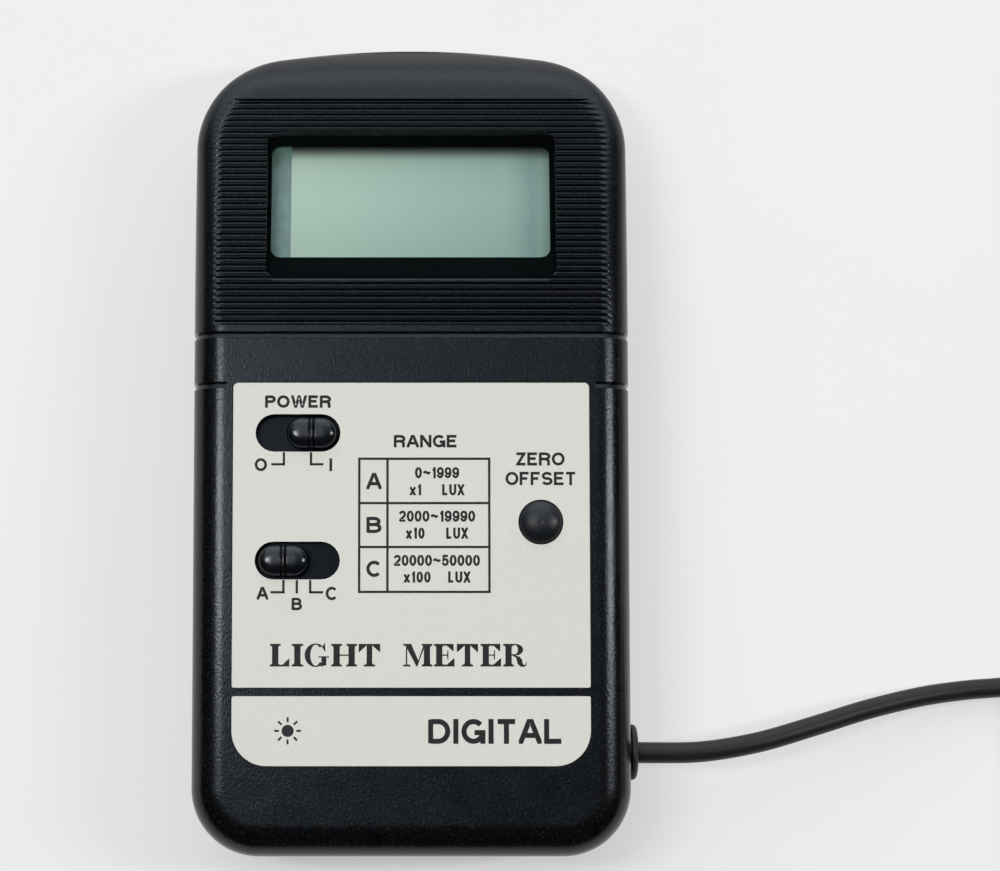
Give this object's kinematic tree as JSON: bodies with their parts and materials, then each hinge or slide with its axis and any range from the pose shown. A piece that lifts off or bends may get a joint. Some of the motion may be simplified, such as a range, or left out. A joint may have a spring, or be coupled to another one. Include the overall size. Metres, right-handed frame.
{
  "type": "handheld light meter",
  "caption": "Handheld light meter with a ridged display end, slide switches and a zero button, and a detector head on a lead kept as a tied coil.",
  "frame": {"origin": "middle of the meter's flat back, on the surface that it lies on", "axes": "+Z out of the display face, +Y towards the display end, +X towards the side that the lead leaves; the detector head and the coiled lead lie beside the meter on +X"},
  "size_m": [0.1992, 0.1546, 0.0264],
  "materials": {
    "casing": "fine leather-grain moulding, low gloss",
    "knob_black": "polished moulding, semi gloss",
    "label_cream": "satin printed film",
    "window_clear": "polished clear acrylic",
    "lcd_glass": "pale green twisted-nematic glass, blank",
    "reflector": "satin",
    "bezel_black": "gloss",
    "board_green": "solder mask over glass fibre",
    "steel": "zinc plated",
    "rubber": "matt",
    "lead_black": "satin soft PVC",
    "battery_shell": "printed metal jacket",
    "foam": "open-cell foam",
    "red_plastic": "gloss",
    "blue_plastic": "gloss",
    "chip_black": "moulded epoxy",
    "diffuser": "opal, satin",
    "filter_glass": "polished coloured glass"
  },
  "bodies": {
    "case": {"front_cover": "casing", "rear_cover": "casing", "case_screw_top_left": "steel", "case_screw_top_right": "steel", "case_screw_bottom_left": "steel", "case_screw_bottom_right": "steel", "board_screw_upper": "steel", "board_screw_lower": "steel", "control_label": "label_cream", "name_label": "label_cream", "display_window": "window_clear", "lcd_bezel": "bezel_black", "lcd_panel": "lcd_glass", "lcd_reflector": "reflector", "zebra_strip_upper": "rubber", "zebra_strip_lower": "rubber", "display_board": "board_green", "main_board": "board_green", "display_ribbon": "foam", "power_switch_frame": "steel", "range_switch_frame": "steel", "zero_switch": "steel", "converter_chip": "chip_black", "amplifier_chip": "chip_black", "calibration_trimmer_1": "blue_plastic", "calibration_trimmer_2": "blue_plastic", "calibration_trimmer_3": "blue_plastic", "film_capacitor_1": "red_plastic", "film_capacitor_2": "red_plastic", "reservoir_capacitor": "blue_plastic", "battery_9v": "battery_shell", "battery_snap": "rubber", "battery_lead_red": "red_plastic", "battery_lead_black": "rubber", "battery_pad": "foam", "lead_gland": "rubber", "sensor_lead": "lead_black", "lead_tail_inside": "lead_black", "lead_coil": "lead_black", "lead_tie": "rubber", "lead_end": "lead_black", "sensor_rear_shell": "casing", "sensor_front_shell": "casing", "sensor_ring": "bezel_black", "diffuser_dome": "diffuser", "colour_filter": "filter_glass", "photodiode": "chip_black", "sensor_board": "board_green", "sensor_strain_relief": "rubber", "sensor_lead_inside": "lead_black", "sensor_screw_1": "steel", "sensor_screw_2": "steel", "sensor_screw_3": "steel", "sensor_screw_4": "steel"},
    "power_slider": {"power_slider": "knob_black"},
    "range_slider": {"range_slider": "knob_black"},
    "zero_button": {"zero_button": "knob_black"},
    "battery_door": {"battery_door": "casing"}
  },
  "joints": [
    {"name": "power_slide", "type": "slide", "parent": "case", "child": "power_slider", "axis": [1, 0, 0], "range_m": [-0.0043, 0]},
    {"name": "range_slide", "type": "slide", "parent": "case", "child": "range_slider", "axis": [1, 0, 0], "range_m": [0, 0.00435]},
    {"name": "zero_press", "type": "slide", "parent": "case", "child": "zero_button", "axis": [0, 0, -1], "range_m": [0, 0.0008], "stiffness_N_per_m": 300},
    {"name": "battery_door_slide", "type": "slide", "parent": "case", "child": "battery_door", "axis": [0, -1, 0], "range_m": [0, 0.034]}
  ]
}
